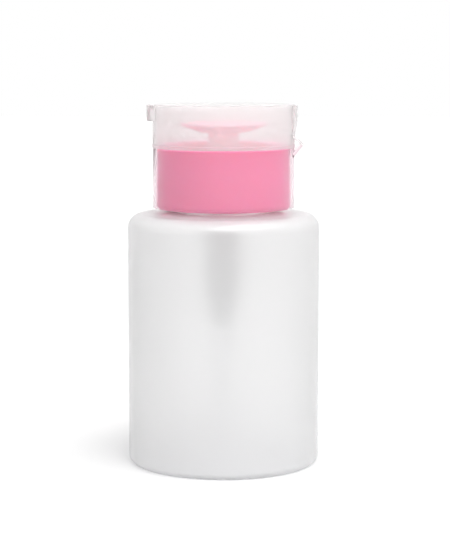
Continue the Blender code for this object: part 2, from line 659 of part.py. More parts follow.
def make_collar():
    """Pink collar: outer skirt, well for the dish, inner threaded skirt and a notch for the key."""
    low = COLLAR_LOW_RADIUS
    edge = COLLAR_EDGE_FILLET
    well_outer = WELL_RADIUS + WELL_WALL
    outline = (
        arc(COLLAR_RADIUS - low, COLLAR_BOTTOM_Z + low, low, -90.0, 0.0)
        + arc(COLLAR_RADIUS - edge, DECK_Z - edge, edge, 0.0, 90.0, 2)
        + arc(WELL_RADIUS + edge, DECK_Z - edge, edge, 90.0, 180.0, 2)
        + [
            (WELL_RADIUS, FLOOR_TOP_Z),
            (COLLAR_HOLE_RADIUS, FLOOR_TOP_Z),
            (COLLAR_HOLE_RADIUS, FLOOR_BOTTOM_Z),
            (SKIRT_INNER_RADIUS, FLOOR_BOTTOM_Z),
            (SKIRT_INNER_RADIUS, SKIRT_BOTTOM_Z),
            (SKIRT_OUTER_RADIUS, SKIRT_BOTTOM_Z),
            (SKIRT_OUTER_RADIUS, FLOOR_TOP_Z),
            (well_outer, FLOOR_TOP_Z + SKIRT_OUTER_RADIUS - well_outer),
            (well_outer, DECK_Z - COLLAR_DECK),
            (COLLAR_INNER_RADIUS, DECK_Z - COLLAR_DECK),
            (COLLAR_INNER_RADIUS, COLLAR_BOTTOM_Z + low),
            (COLLAR_RADIUS - low, COLLAR_BOTTOM_Z + COLLAR_WALL),
        ]
    )
    collar = revolve("screw_collar", outline, CAP_SEGMENTS, finish("screw_collar", "#f098b1", 0.4))
    helix_z = NECK_ROOT_Z + NECK_THREAD_LOW - THREAD_PITCH / 2.0
    first_turn = NECK_THREAD_TURNS - COLLAR_THREAD_TURNS
    ridge = thread_ridge("collar_thread", SKIRT_INNER_RADIUS, -1.0, helix_z, first_turn, COLLAR_THREAD_TURNS)
    boolean(collar, ridge, "UNION")
    key_low = DECK_Z - COLLAR_LIP - KEY_DROP - KEY_HEIGHT
    notch_floor = COLLAR_RADIUS + COLLAR_FIT - KEY_DEPTH - CLEAR
    half = KEY_WIDTH / 2.0 + CLEAR
    notch = block("notch_cutter", (notch_floor, -half, key_low - CLEAR),
                  (COLLAR_RADIUS + OVERRUN, half, DECK_Z + OVERRUN))
    boolean(collar, notch, "DIFFERENCE")
    return collar


def leaf_rings(wall_radius, root_z):
    """Sections across one half of the strap, from near the fold line into the wall that carries it."""
    fold = Vector((HINGE_AXIS.x, HINGE_AXIS.z))
    along = (Vector((wall_radius, root_z)) - fold).normalized()
    across = Vector((-along.y, along.x)) * STRAP_THICKNESS / 2.0
    start = fold + along * STRAP_FOLD_GAP
    rings = []
    for i in range(2 * ARC_STEPS + 1):
        y = STRAP_HALF_WIDTH * (i / ARC_STEPS - 1.0)
        wall_x = math.sqrt(wall_radius ** 2 - y ** 2)
        root = fold + along * ((wall_x - fold.x) / along.x)
        section = (start + across, start - across, root - across, root + across)
        rings.append([(x, y, z) for x, z in section])
    return rings


def make_sleeve():
    """Clear tube round the collar, with the key inside and the lower half of the strap outside."""
    bottom_radius = SLEEVE_TOP_RADIUS + SLEEVE_DRAFT
    edge = SLEEVE_EDGE_CHAMFER
    outline = [
        (bottom_radius - SLEEVE_WALL, SLEEVE_BOTTOM_Z),
        (bottom_radius - edge, SLEEVE_BOTTOM_Z),
        (bottom_radius, SLEEVE_BOTTOM_Z + edge),
        (SLEEVE_TOP_RADIUS, SLEEVE_TOP_Z - edge),
        (SLEEVE_TOP_RADIUS - edge, SLEEVE_TOP_Z),
        (SLEEVE_TOP_RADIUS - SLEEVE_WALL, SLEEVE_TOP_Z),
    ]
    clear = finish("collar_sleeve", "#f4f2f2", 0.15, 0.0, 0.9)
    sleeve = revolve("collar_sleeve", outline, CAP_SEGMENTS, clear)
    inner = SLEEVE_TOP_RADIUS - SLEEVE_WALL
    key_top = SLEEVE_TOP_Z - KEY_DROP
    key = block("sleeve_key", (inner - KEY_DEPTH, -KEY_WIDTH / 2.0, key_top - KEY_HEIGHT),
                (inner + BITE, KEY_WIDTH / 2.0, key_top))
    boolean(sleeve, key, "UNION")
    root = SLEEVE_TOP_RADIUS - SLEEVE_WALL / 2.0
    boolean(sleeve, skin("lower_leaf", leaf_rings(root, HINGE_AXIS.z - STRAP_LOWER_DROP)), "UNION")
    return sleeve


def tab_ring(height):
    """Outline of the thumb tab at one height: an arc outside, the lid's wall inside."""
    root = LID_RADIUS - LID_WALL / 2.0
    root_angle = math.asin(TAB_HALF_WIDTH / root)
    chord_x = root * math.cos(root_angle)
    rise = LID_RADIUS + TAB_REACH - chord_x
    radius = (rise ** 2 + TAB_HALF_WIDTH ** 2) / (2.0 * rise)
    center = chord_x + rise - radius
    sweep = math.atan2(TAB_HALF_WIDTH, chord_x - center)
    steps = 2 * ARC_STEPS
    outer = []
    inner = []
    for i in range(steps + 1):
        share = 2.0 * i / steps - 1.0
        outer.append((-center - radius * math.cos(share * sweep), radius * math.sin(share * sweep), height))
        inner.append((-root * math.cos(share * root_angle), root * math.sin(share * root_angle), height))
    return outer + inner[-2:0:-1]


def pad_rings():
    """Sections of the hinge pad, a thick stretch of the lid's wall above the strap."""
    root = LID_RADIUS - LID_WALL / 2.0
    top = LID_TOP_Z - TAB_STEP
    section = (
        (root, top - PAD_HEIGHT - PAD_TAPER),
        (LID_RADIUS + PAD_LEDGE, top - PAD_HEIGHT - PAD_TAPER),
        (LID_RADIUS + PAD_REACH, top - PAD_HEIGHT),
        (LID_RADIUS + PAD_REACH, top),
        (root, top),
    )
    sweep = math.asin(PAD_HALF_WIDTH / LID_RADIUS)
    rings = []
    for i in range(ARC_STEPS + 1):
        angle = sweep * (2.0 * i / ARC_STEPS - 1.0)
        rings.append([(r * math.cos(angle), r * math.sin(angle), z) for r, z in section])
    return rings


def make_lid():
    """Translucent lid with its thumb tab, hinge pad and the upper half of the strap."""
    inner = LID_RADIUS - LID_WALL
    edge = LID_EDGE_FILLET
    corner = LID_INNER_FILLET
    bead_top = LID_BOTTOM_Z + LID_BEAD_HEIGHT
    ceiling = LID_TOP_Z - LID_TOP
    outline = (
        [
            (inner, LID_BOTTOM_Z),
            (LID_RADIUS + LID_BEAD, LID_BOTTOM_Z),
            (LID_RADIUS + LID_BEAD, bead_top - LID_BEAD),
            (LID_RADIUS, bead_top),
        ]
        + arc(LID_RADIUS - edge, LID_TOP_Z - edge, edge, 0.0, 90.0, 3)
        + [(0.0, LID_TOP_Z), (0.0, ceiling)]
        + arc(inner - corner, ceiling - corner, corner, 90.0, 0.0, 2)
    )
    lid = revolve("flip_lid", outline, CAP_SEGMENTS, finish("flip_lid", "#f1eeee", 0.3, 0.0, 0.8))
    top = LID_TOP_Z - TAB_STEP
    tab = skin("thumb_tab", [tab_ring(top - TAB_HEIGHT), tab_ring(top)])
    boolean(lid, tab, "UNION")
    boolean(lid, skin("hinge_pad", pad_rings()), "UNION")
    root = LID_RADIUS - LID_WALL / 2.0
    boolean(lid, skin("upper_leaf", leaf_rings(root, HINGE_AXIS.z + STRAP_UPPER_RISE)), "UNION")
    return lid


def make_film():
    """Thin fold of the strap, between its two halves."""
    fold = Vector((HINGE_AXIS.x, HINGE_AXIS.z))
    upper = Vector((LID_RADIUS - LID_WALL / 2.0, HINGE_AXIS.z + STRAP_UPPER_RISE)) - fold
    lower = Vector((SLEEVE_TOP_RADIUS - SLEEVE_WALL / 2.0, HINGE_AXIS.z - STRAP_LOWER_DROP)) - fold
    length = STRAP_FOLD_GAP - FILM_CLEARANCE
    half = FILM_THICKNESS / 2.0
    section = []
    for side in (1.0, -1.0):
        points = []
        for leaf, hand in ((upper, 1.0), (lower, -1.0)):
            along = leaf.normalized()
            across = Vector((along.y, -along.x)) * half * side * hand
            points.append(fold + along * length + across)
        corner = fold + Vector((half * side / math.sin(upper.angle(lower) / 2.0), 0.0))
        ordered = [points[0], corner, points[1]]
        section += ordered if side > 0.0 else ordered[::-1]
    return strip("hinge_film", section, STRAP_HALF_WIDTH, finish("hinge_film", "#f1eeee", 0.3, 0.0, 0.8))


def build():
    """Make every piece and hang the moving ones on the axes of their joints."""
    for old in list(bpy.data.objects):
        bpy.data.objects.remove(old, do_unlink=True)
    make_bottle()
    pump_axis = axis_empty("pump_axis", (0.0, 0.0, NECK_TOP_Z))
    carry(pump_axis, make_gasket(), make_housing(), make_retainer(), make_cage())
    carry(pump_axis, make_dip_tube(), make_spring())
    inlet_axis = axis_empty("inlet_axis", (0.0, 0.0, INLET_BALL_Z), pump_axis)
    carry(inlet_axis, make_ball("inlet_ball", INLET_BALL_RADIUS, INLET_BALL_Z))
    press_axis = axis_empty("press_axis", (0.0, 0.0, DISH_UNDER_Z), pump_axis)
    carry(press_axis, make_dish(), make_stem(), make_piston())
    outlet_axis = axis_empty("outlet_axis", (0.0, 0.0, OUTLET_BALL_Z), press_axis)
    carry(outlet_axis, make_ball("outlet_ball", OUTLET_BALL_RADIUS, OUTLET_BALL_Z))
    cap_axis = axis_empty("cap_axis", (0.0, 0.0, DECK_Z), pump_axis)
    carry(cap_axis, make_collar(), make_sleeve(), make_film())
    lid_axis = axis_empty("lid_axis", HINGE_AXIS, cap_axis)
    carry(lid_axis, make_lid())


build()
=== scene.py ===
"""Looks of a push-down dispenser bottle: frosted body, pink screw collar in a clear sleeve, flip lid.

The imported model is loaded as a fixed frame, in metres with +Z up. Each sub-assembly is a class that
takes its places from the frame, shapes its pieces with modelling operators and dresses them.
"""
from __future__ import annotations

import json
import logging
import math
from collections.abc import Callable, Sequence
from dataclasses import dataclass, replace
from enum import Enum

import bpy
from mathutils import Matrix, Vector

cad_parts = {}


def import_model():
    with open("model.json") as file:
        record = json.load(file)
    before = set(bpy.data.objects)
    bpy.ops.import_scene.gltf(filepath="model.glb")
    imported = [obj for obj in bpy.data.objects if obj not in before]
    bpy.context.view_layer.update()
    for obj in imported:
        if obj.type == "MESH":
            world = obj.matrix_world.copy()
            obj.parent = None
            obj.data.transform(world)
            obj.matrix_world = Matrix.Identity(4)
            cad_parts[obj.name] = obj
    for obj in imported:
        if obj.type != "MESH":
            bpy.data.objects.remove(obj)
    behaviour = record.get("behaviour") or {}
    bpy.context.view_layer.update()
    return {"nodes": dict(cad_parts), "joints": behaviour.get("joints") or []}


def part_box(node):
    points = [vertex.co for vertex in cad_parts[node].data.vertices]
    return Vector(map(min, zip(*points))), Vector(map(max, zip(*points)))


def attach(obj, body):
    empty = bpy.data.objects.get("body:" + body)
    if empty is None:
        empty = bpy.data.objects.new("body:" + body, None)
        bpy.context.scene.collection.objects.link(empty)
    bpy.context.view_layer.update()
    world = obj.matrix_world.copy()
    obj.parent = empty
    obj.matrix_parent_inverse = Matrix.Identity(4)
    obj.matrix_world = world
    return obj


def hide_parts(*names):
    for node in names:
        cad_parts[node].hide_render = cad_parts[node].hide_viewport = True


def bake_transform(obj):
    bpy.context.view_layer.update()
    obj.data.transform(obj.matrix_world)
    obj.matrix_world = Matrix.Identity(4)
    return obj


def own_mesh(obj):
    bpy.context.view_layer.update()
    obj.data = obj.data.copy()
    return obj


LOG = logging.getLogger("dispenser")
MM = 0.001
ROUND_SEGMENTS = 160
HOLE_SEGMENTS = 24
BEVEL_SEGMENTS = 3
MERGE_DISTANCE = 0.0000002
SMOOTH_ANGLE = math.radians(32.0)

Point = tuple[float, float]
Place = tuple[float, float, float]
Piece = bpy.types.Object
Tree = bpy.types.NodeTree


def linear(hex_code: str) -> tuple[float, float, float, float]:
    """Turn an sRGB hex colour into the linear values that a shader takes.

    Args:
        hex_code: Colour such as "#f098b1".

    Returns:
        Red, green, blue and an alpha of one.
    """
    shares = [int(hex_code[i:i + 2], 16) / 255.0 for i in (1, 3, 5)]
    red, green, blue = [c / 12.92 if c <= 0.04045 else ((c + 0.055) / 1.055) ** 2.4 for c in shares]
    return red, green, blue, 1.0


def blank_tree(owner: bpy.types.Material | bpy.types.World) -> Tree:
    """Switch a material or world to nodes and empty its tree.

    Args:
        owner: Material or world.

    Returns:
        Its empty node tree.
    """
    owner.use_nodes = True
    owner.node_tree.nodes.clear()
    return owner.node_tree


def add_node(
    tree: Tree,
    kind: str,
    settings: dict[str | int, object] | None = None,
    links: dict[str | int, bpy.types.Node | bpy.types.NodeSocket] | None = None,
) -> bpy.types.Node:
    """Add one node with its settings and links.

    Args:
        tree: Node tree that gets the node.
        kind: Kind of shader node, such as "TexNoise".
        settings: Values by the name of a setting, and then by the name or number of an input.
        links: Outputs, or nodes that stand for their first output, by the input that they feed.

    Returns:
        The new node.
    """
    node = tree.nodes.new("ShaderNode" + kind)
    for key, value in (settings or {}).items():
        if isinstance(key, str) and hasattr(node, key):
            setattr(node, key, value)
        else:
            node.inputs[key].default_value = value
    for key, source in (links or {}).items():
        output = source.outputs[0] if isinstance(source, bpy.types.Node) else source
        tree.links.new(output, node.inputs[key])
    return node


class Grain(Enum):
    """How a surface's fine texture is drawn out along X, Y and Z."""

    EVEN = (1.0, 1.0, 1.0)
    UPRIGHT = (1.0, 1.0, 0.08)
    FLAT = (0.2, 0.2, 1.0)


@dataclass(frozen=True)
class Finish:
    """A moulded plastic, unless its values say otherwise.

    A fine grain drives roughness and relief, and a broad mottle mixes the two colours, which gives the
    slight change of colour of an uneven wall.
    """

    name: str
    colour: str
    second_colour: str
    roughness: Point
    grain_size: float = 0.0008
    mottle_size: float = 0.02
    grain: Grain = Grain.EVEN
    octaves: float = 3.0
    mottle_octaves: float = 2.0
    noise_band: Point = (0.3, 0.7)
    relief: float = 0.000004
    ior: float = 1.49
    metallic: float = 0.0
    transmission: float = 0.0
    subsurface: float = 0.0
    subsurface_reach: Place = (0.001, 0.001, 0.001)
    specular: float = 0.5
    skin: float = 0.0
    skin_roughness: float = 0.1
    lamp_tint: str | None = None

    def material(self) -> bpy.types.Material:
        """Build the material.

        Returns:
            A material whose patterns read object coordinates.
        """
        material = bpy.data.materials.new(self.name)
        tree = blank_tree(material)
        place = add_node(tree, "TexCoord").outputs["Object"]
        drawn_out = add_node(tree, "Mapping", {"Scale": self.grain.value}, {"Vector": place})
        fine, broad = [
            add_node(tree, "TexNoise", {"Scale": 1.0 / size, "Detail": octaves}, {"Vector": drawn_out})
            for size, octaves in ((self.grain_size, self.octaves),
                                  (self.mottle_size, self.mottle_octaves))]
        colour = add_node(tree, "Mix", {"data_type": "RGBA", 6: linear(self.colour),
                                        7: linear(self.second_colour)}, {0: broad})
        rough = add_node(tree, "MapRange",
                         {"From Min": self.noise_band[0], "From Max": self.noise_band[1],
                          "To Min": self.roughness[0], "To Max": self.roughness[1]}, {"Value": fine})
        links = {"Base Color": colour.outputs[2], "Roughness": rough}
        if self.relief:
            links["Normal"] = add_node(
                tree, "Bump", {"Strength": 1.0, "Distance": self.relief}, {"Height": fine})
        surface = add_node(
            tree, "BsdfPrincipled",
            {"IOR": self.ior, "Metallic": self.metallic, "Transmission Weight": self.transmission,
             "Subsurface Weight": self.subsurface, "Subsurface Radius": self.subsurface_reach,
             "Subsurface Scale": 1.0, "Specular IOR Level": self.specular, "Coat Weight": self.skin,
             "Coat Roughness": self.skin_roughness}, links)
        if self.lamp_tint:
            shadow = add_node(tree, "LightPath").outputs["Is Shadow Ray"]
            passed = add_node(tree, "BsdfTransparent", {"Color": linear(self.lamp_tint)})
            surface = add_node(tree, "MixShader", {}, {0: shadow, 1: surface, 2: passed})
        add_node(tree, "OutputMaterial", {}, {"Surface": surface})
        return material


@dataclass(frozen=True)
class Steel(Finish):
    """Bare steel whose fine marks, from drawing or grinding, set its roughness and colour."""

    octaves: float = 4.0
    mottle_octaves: float = 4.0
    noise_band: Point = (0.0, 1.0)
    relief: float = 0.0
    ior: float = 1.5
    metallic: float = 1.0


SLOT_FINISHES: dict[str, Finish] = {
    # Blow-moulded polypropylene with a frosted outside: it blurs what is behind it, and looks milky.
    "frosted_shell": Finish(
        "blown_frosted_polypropylene", "#f7f7f7", "#f4f4f4", (0.34, 0.40), 0.0012, 0.03, Grain.UPRIGHT,
        relief=0.000003, transmission=0.76, skin=0.22, skin_roughness=0.2, lamp_tint="#d4d4d6"),
    # Injection-moulded clear styrene acrylonitrile: glossy, with faint flow marks round it. At the real
    # IOR of 1.57 its curved edges render nearly black against the pale room, so it is lower.
    # Its faint pink tint is painted light, the collar's pink light painted into plastic that is near
    # colourless.
    "clear_sleeve": Finish(
        "clear_san_painted_pink_light", "#f6e6ec", "#f2e2e8", (0.01, 0.03), 0.0015, grain=Grain.FLAT,
        relief=0.000001, ior=1.2, transmission=0.92, lamp_tint="#fbf8f8"),
    # Injection-moulded natural polypropylene in a thin wall: a milky veil over what is inside. Its IOR
    # is below the real 1.49 for the sleeve's reason.
    "lid_plastic": Finish(
        "moulded_milky_polypropylene", "#eceaea", "#e8e6e6", (0.05, 0.08), 0.0010, relief=0.000003,
        ior=1.2, transmission=0.7, subsurface=0.4, subsurface_reach=(0.002, 0.002, 0.002),
        lamp_tint="#f2eeee"),
    # Injection-moulded pink polypropylene: satin, and a little light goes into it.
    "pink_plastic": Finish(
        "moulded_pink_polypropylene", "#e282ac", "#de7ca6", (0.34, 0.42), relief=0.000003,
        transmission=0.08, subsurface=1.0, subsurface_reach=(0.003, 0.0014, 0.0018), specular=0.4,
        lamp_tint="#fdeef2"),
    # Injection-moulded natural polypropylene, thick enough to be near opaque: milky white and satin.
    "natural_plastic": Finish(
        "moulded_natural_polypropylene", "#dcdddd", "#d2d3d4", (0.4, 0.5), subsurface=0.2),
    # Soft low-density polyethylene, as in seals: matte and waxy.
    "seal": Finish(
        "moulded_soft_polyethylene", "#e9e9e6", "#e0e0dc", (0.5, 0.62), 0.0006, relief=0.000005,
        ior=1.51, subsurface=0.3),
    # Extruded polyethylene tube: translucent, with draw marks along it.
    "tube": Finish(
        "extruded_clear_polyethylene", "#ffffff", "#ffffff", (0.25, 0.35), 0.0006, grain=Grain.UPRIGHT,
        ior=1.51, transmission=0.95, lamp_tint="#f0f0f0"),
    # Drawn stainless spring wire: bright, with fine marks of the die.
    "spring_steel": Steel("drawn_stainless_wire", "#c9cbce", "#a9acb0", (0.22, 0.38), 0.0005, 0.0005),
    # Ground and polished stainless valve balls: a soft mirror.
    "ball_steel": Steel("polished_stainless_ball", "#d4d6d8", "#c4c7ca", (0.08, 0.16), 0.0008, 0.0008),
}
# The collar's pink in the dish's millimetre of wall: light passes, and its colour is painted paler as
# well: painted backlight, a lit copy of the pink plastic.
BACKLIT_DISH_POLYPROPYLENE = replace(
    SLOT_FINISHES["pink_plastic"], name="pink_polypropylene_painted_backlight", colour="#f4c6d4",
    second_colour="#f0becd", transmission=0.3, lamp_tint="#f4d4dc")
# Natural polypropylene of the pump's cylinder, painted grey: painted shade, a darker copy of the
# natural plastic that stands in for the shade it lies in inside the frosted bottle.
SHADED_CYLINDER_POLYPROPYLENE = replace(
    SLOT_FINISHES["natural_plastic"], name="cylinder_polypropylene_painted_shade", colour="#a8a8a8",
    second_colour="#a0a0a0")


def deselect() -> None:
    """Deselect every object, because an operator acts on all that is selected."""
    for other in bpy.context.selected_objects:
        other.select_set(False)


def added(operator: Callable[..., object], **settings: object) -> Piece:
    """Add an object while nothing else is selected.

    Args:
        operator: Operator that adds it.
        settings: What the operator is given.

    Returns:
        The new object.
    """
    deselect()
    operator(**settings)
    return bpy.context.object


def make_active(piece: Piece) -> None:
    """Make a piece the active and only selected object.

    Args:
        piece: Piece that is to be active.
    """
    deselect()
    piece.select_set(True)
    bpy.context.view_layer.objects.active = piece


def pick(piece: Piece, wanted: Callable[[Vector], bool]) -> None:
    """Enter edit mode with only the wanted vertices selected.

    Args:
        piece: Object whose vertices are picked.
        wanted: Test of a vertex by its place.
    """
    make_active(piece)
    bpy.ops.object.mode_set(mode="EDIT")
    bpy.ops.mesh.select_mode(type="VERT")
    bpy.ops.mesh.select_all(action="DESELECT")
    bpy.ops.object.mode_set(mode="OBJECT")
    for vertex in piece.data.vertices:
        vertex.select = wanted(vertex.co)
    bpy.ops.object.mode_set(mode="EDIT")


def apply_modifier(piece: Piece, kind: str, settings: dict[str, object]) -> None:
    """Add a modifier with its settings and apply it.

    Args:
        piece: Object that is changed.
        kind: Modifier type, such as "SCREW".
        settings: Values by the name of a setting.
    """
    modifier = piece.modifiers.new(kind.lower(), kind)
    for key, value in settings.items():
        setattr(modifier, key, value)
    make_active(piece)
    bpy.ops.object.modifier_apply(modifier=modifier.name)


def bevel(piece: Piece, width: float) -> None:
    """Round a piece's edges."""
    apply_modifier(piece, "BEVEL", {"width": width, "segments": BEVEL_SEGMENTS,
                                    "angle_limit": SMOOTH_ANGLE})


def turn_round(piece: Piece, steps: int, turns: float = 1.0, climb: float = 0.0) -> None:
    """Turn a drawn line round the Z axis into a surface.

    Args:
        piece: Line that was just drawn, in edit mode.
        steps: Steps of the whole sweep.
        turns: Turns that it makes.
        climb: Rise over the whole sweep.
    """
    bpy.ops.object.mode_set(mode="OBJECT")
    apply_modifier(piece, "SCREW", {"angle": math.tau * turns, "screw_offset": climb, "steps": steps,
                                    "render_steps": steps, "use_merge_vertices": False})


def weld(distance: float = MERGE_DISTANCE) -> None:
    """Select all of the active piece in edit mode and merge its doubles.

    Args:
        distance: How close points are that are merged.
    """
    bpy.ops.object.mode_set(mode="EDIT")
    bpy.ops.mesh.select_all(action="SELECT")
    bpy.ops.mesh.remove_doubles(threshold=distance)


def settle(piece: Piece, name: str) -> Piece:
    """Name a shaped piece, weld and smooth it, and put its place into its mesh.

    Args:
        piece: Object that was just shaped, in object or edit mode.
        name: Name of the piece.

    Returns:
        The same object, at the origin, unturned and unscaled.
    """
    if piece.mode == "EDIT":
        bpy.ops.object.mode_set(mode="OBJECT")
    make_active(piece)
    bpy.ops.object.transform_apply(location=True, rotation=True, scale=True)
    weld()
    bpy.ops.mesh.normals_make_consistent(inside=False)
    bpy.ops.object.mode_set(mode="OBJECT")
    bpy.ops.object.shade_smooth_by_angle(angle=SMOOTH_ANGLE)
    piece.name = name
    piece.data.name = name
    return piece


def arc(center: Point, radius: float, start: float, end: float, steps: int) -> list[Point]:
    """Points of an arc in radius and height, ends included, its angles in degrees from outwards."""
    turns = [math.radians(start + (end - start) * i / steps) for i in range(steps + 1)]
    return [(center[0] + radius * math.cos(turn), center[1] + radius * math.sin(turn))
            for turn in turns]


def rounded(corner: Point, radius: float, start: float, end: float, steps: int = 4) -> list[Point]:
    """Quarter arc in place of a square corner, its angles as in arc."""
    way = math.radians((start + end) / 2.0)
    return arc((corner[0] - math.copysign(radius, math.cos(way)),
                corner[1] - math.copysign(radius, math.sin(way))), radius, start, end, steps)


def lip(outer: float, inner: float, high: float, rounding: float, steps: int = 4) -> list[Point]:
    """Rounded upper edge of a round wall, from its outer face over to its inner one."""
    return [*rounded((outer, high), rounding, 0.0, 90.0, steps),
            *rounded((inner, high), rounding, 90.0, 180.0, steps)]


def drawn(outline: Sequence[Point], closed: bool = True) -> Piece:
    """Draw a line in the XZ plane by extruding one vertex from point to point.

    Args:
        outline: Points of the line, as X and Z.
        closed: Whether the last point is joined to the first.

    Returns:
        The line as an object in edit mode, all of it selected.
    """
    line = added(bpy.ops.mesh.primitive_plane_add, size=MM, enter_editmode=True)
    bpy.ops.mesh.merge(type="CENTER")
    bpy.ops.transform.translate(value=(outline[0][0], 0.0, outline[0][1]))
    for (x, z), (next_x, next_z) in zip(outline, outline[1:]):
        bpy.ops.mesh.extrude_vertices_move(
            TRANSFORM_OT_translate={"value": (next_x - x, 0.0, next_z - z)})
    bpy.ops.mesh.select_all(action="SELECT")
    if closed:
        bpy.ops.mesh.edge_face_add()
        bpy.ops.mesh.delete(type="ONLY_FACE")
        bpy.ops.mesh.select_all(action="SELECT")
    return line


def swept(
    name: str,
    outline: Sequence[Point],
    segments: int = ROUND_SEGMENTS,
    turns: float = 1.0,
    first_turn: float = 0.0,
    climb: float = 0.0,
) -> Piece:
    """Sweep an outline round the Z axis into a closed solid.

    Args:
        name: Name of the piece.
        outline: Points of radius and height. Where both of its ends lie on the axis it stays open.
        segments: Steps in a full turn.
        turns: Share of a turn, or number of turns, that it sweeps.
        first_turn: Turn at which it starts, counted from +X.
        climb: Rise over the whole sweep.

    Returns:
        The solid.
    """
    piece = drawn(outline, closed=outline[0][0] > 0.0)
    turn_round(piece, round(segments * turns), turns, climb)
    piece.rotation_euler = (0.0, 0.0, math.tau * first_turn)
    weld()
    bpy.ops.mesh.fill_holes(sides=0)
    return settle(piece, name)


def strip(name: str, section: Sequence[Point], half_width: float) -> Piece:
    """Extrude a section of X and Z points across Y.

    Args:
        name: Name of the piece.
        section: Points of its closed outline.
        half_width: Half its width along Y.

    Returns:
        The solid.
    """
    piece = drawn(section)
    bpy.ops.mesh.edge_face_add()
    bpy.ops.transform.translate(value=(0.0, -half_width, 0.0))
    bpy.ops.mesh.extrude_region_move(TRANSFORM_OT_translate={"value": (0.0, 2.0 * half_width, 0.0)})
    return settle(piece, name)


def block(name: str, low: Place, high: Place) -> Piece:
    """A box between its lowest and its highest corner."""
    return settle(added(bpy.ops.mesh.primitive_cube_add, size=1.0, scale=Vector(high) - Vector(low),
                        location=(Vector(low) + Vector(high)) / 2.0), name)


def peg(name: str, radius: float, low: Place, high: Place, sides: int = HOLE_SEGMENTS) -> Piece:
    """A round rod between the middles of its two ends."""
    way = Vector(high) - Vector(low)
    return settle(added(
        bpy.ops.mesh.primitive_cylinder_add, vertices=sides, radius=radius, depth=way.length,
        location=(Vector(high) + Vector(low)) / 2.0,
        rotation=way.to_track_quat("Z", "Y").to_euler()), name)


class Change(Enum):
    """How a tool changes a piece."""

    JOIN = "UNION"
    CUT = "DIFFERENCE"


def combine(target: Piece, change: Change, *tools: Piece) -> None:
    """Join tools to a piece or cut them out, one after another, and remove them.

    Args:
        target: Piece that is changed.
        change: Whether they are joined or cut out.
        tools: Shapes that are joined or cut out.
    """
    for tool in tools:
        apply_modifier(target, "BOOLEAN", {"operation": change.value, "object": tool})
        bpy.data.objects.remove(tool, do_unlink=True)
        bpy.ops.object.shade_smooth_by_angle(angle=SMOOTH_ANGLE)


@dataclass(frozen=True)
class Dresser:
    """Gives pieces their finish and body, and CAD nodes that keep their shape their finish."""

    materials: dict[str, bpy.types.Material]
    nodes: dict[str, Piece]

    def dress(self, piece: Piece, slot: str, body: str, node: str, own: Finish | None = None) -> None:
        """Give a piece its finish and its body, and let it stand for its CAD node.

        Args:
            piece: Piece to dress.
            slot: Material slot of the record.
            body: Body that it moves with.
            node: CAD node that it replaces.
            own: Finish of its own, where it looks different from the rest of its slot.
        """
        piece.data.materials.clear()
        piece.data.materials.append(own.material() if own else self.materials[slot])
        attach(piece, body)
        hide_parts(node)
        LOG.info("%s rides on %s and replaces %s", piece.name, body, node)

    def keep(self, name: str, slot: str) -> None:
        """Give a CAD node that keeps its shape the finish of its slot.

        Args:
            name: Name of the node.
            slot: Material slot of the record.
        """
        for place in self.nodes[name].material_slots:
            place.material = self.materials[slot]
        LOG.info("%s keeps its own shape", name)


@dataclass(frozen=True)
class Span:
    """Heights and radius that a round CAD node takes up."""

    low: float
    high: float
    radius: float

    @classmethod
    def of(cls, node: str) -> Span:
        """Read a node's span from the frame, its radius along Y."""
        low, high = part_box(node)
        return cls(low.z, high.z, high.y)


@dataclass(frozen=True)
class Thread:
    """Continuous screw thread of trapezoid section on a round wall, whose ends fade into it.

    Its side is 1 outside the wall and -1 inside it, low is its helix's height at turn 0, and first is
    the turn at which it starts.
    """

    name: str
    wall: float
    side: float
    low: float
    first: float
    turns: float
    pitch: float = 0.00423
    depth: float = 0.0009
    root_width: float = 0.0016
    crest_width: float = 0.0008
    bite: float = 0.0005
    steps: int = 72
    fade_steps: int = 7
    pick_share: float = 0.6

    @property
    def crest(self) -> float:
        """Radius of the crest."""
        return self.wall + self.side * self.depth

    def ridge(self) -> Piece:
        """Model the thread as a ridge that reaches into the wall.

        Returns:
            The ridge.
        """
        root = self.wall - self.side * self.bite
        height = self.low + self.pitch * self.first
        section = [(root, height - self.root_width / 2.0),
                   (self.crest, height - self.crest_width / 2.0),
                   (self.crest, height + self.crest_width / 2.0),
                   (root, height + self.root_width / 2.0)]
        ridge = swept(self.name, section, self.steps, self.turns, self.first, self.pitch * self.turns)
        last = round(self.steps * self.turns)
        faded = self.wall - self.side * self.bite / 2.0
        for ring in (*range(self.fade_steps), *range(last - self.fade_steps + 1, last + 1)):
            share = min(ring, last - ring) / self.fade_steps
            turn = self.first + self.turns * ring / last
            self.sink(ridge, turn, faded + (self.crest - faded) * share)
        return ridge

    def sink(self, ridge: Piece, turn: float, radius: float) -> None:
        """Scale the crest of one ring of the ridge to a new radius.

        Args:
            ridge: Ridge that is changed.
            turn: Turn of the ring.
            radius: New radius of the crest there.
        """
        angle = math.tau * turn
        middle = Vector((self.crest * math.cos(angle), self.crest * math.sin(angle),
                         self.low + self.pitch * turn))
        pick(ridge, lambda place: (place - middle).length < self.crest_width * self.pick_share)
        share = radius / self.crest
        bpy.ops.transform.resize(value=(share, share, 1.0), center_override=(0.0, 0.0, 0.0))
        bpy.ops.object.mode_set(mode="OBJECT")


